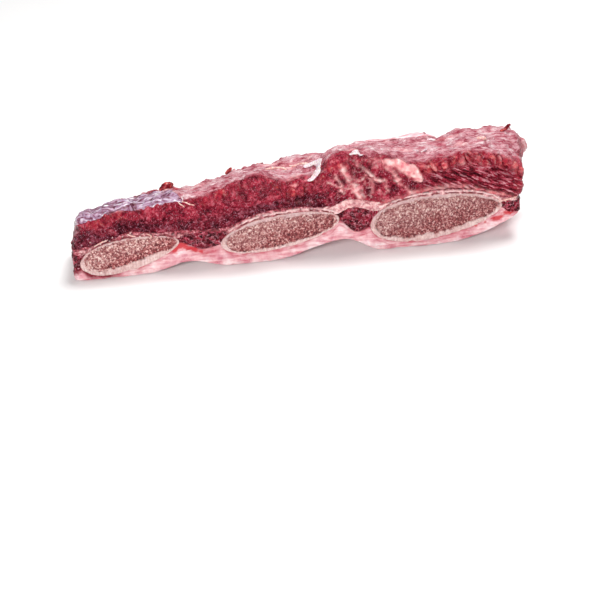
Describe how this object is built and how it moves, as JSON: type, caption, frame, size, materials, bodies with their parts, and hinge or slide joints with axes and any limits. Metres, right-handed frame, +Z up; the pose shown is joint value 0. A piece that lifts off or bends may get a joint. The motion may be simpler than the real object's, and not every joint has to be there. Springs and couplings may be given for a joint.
{
  "type": "raw beef short ribs",
  "caption": "Cross-cut strip of raw beef short ribs: sawn rib bones with marrow between a pale fat underside and a thick slab of marbled lean.",
  "frame": {"origin": "middle of the strip's bounding box in plan, at the underside that rests on the board", "axes": "+X along the strip, from its thin end to its thick end; +Y from the sawn face that the picture shows to the sawn face behind; +Z up, from the ribs to the lean"},
  "size_m": [0.1768, 0.0294, 0.0396],
  "materials": {
    "lean": "raw lean beef, moist and glistening, marbled with fine fat, deep red on the sawn faces and pinker on top",
    "rib_muscle": "dark red muscle between the ribs, moist",
    "belly_fascia": "pink-white fat and connective tissue, moist",
    "cover_fat": "pink-grey fat and torn membrane over the ribs, moist",
    "bone_wall": "sawn bone, ivory with a pink tinge, matt",
    "marrow": "spongy red-brown bone with marrow, grainy",
    "silverskin": "thin purple-grey membrane with pale streaks, wet sheen"
  },
  "bodies": {
    "root": {"rib_left_wall": "bone_wall", "rib_left_marrow": "marrow", "rib_middle_wall": "bone_wall", "rib_middle_marrow": "marrow", "rib_right_wall": "bone_wall", "rib_right_marrow": "marrow", "belly_fascia": "belly_fascia", "cover_fat": "cover_fat", "rib_muscle_left_end": "rib_muscle", "rib_muscle_left": "rib_muscle", "rib_muscle_right": "rib_muscle", "rib_muscle_right_end": "rib_muscle", "lean": "lean", "silverskin": "silverskin"}
  },
  "joints": []
}
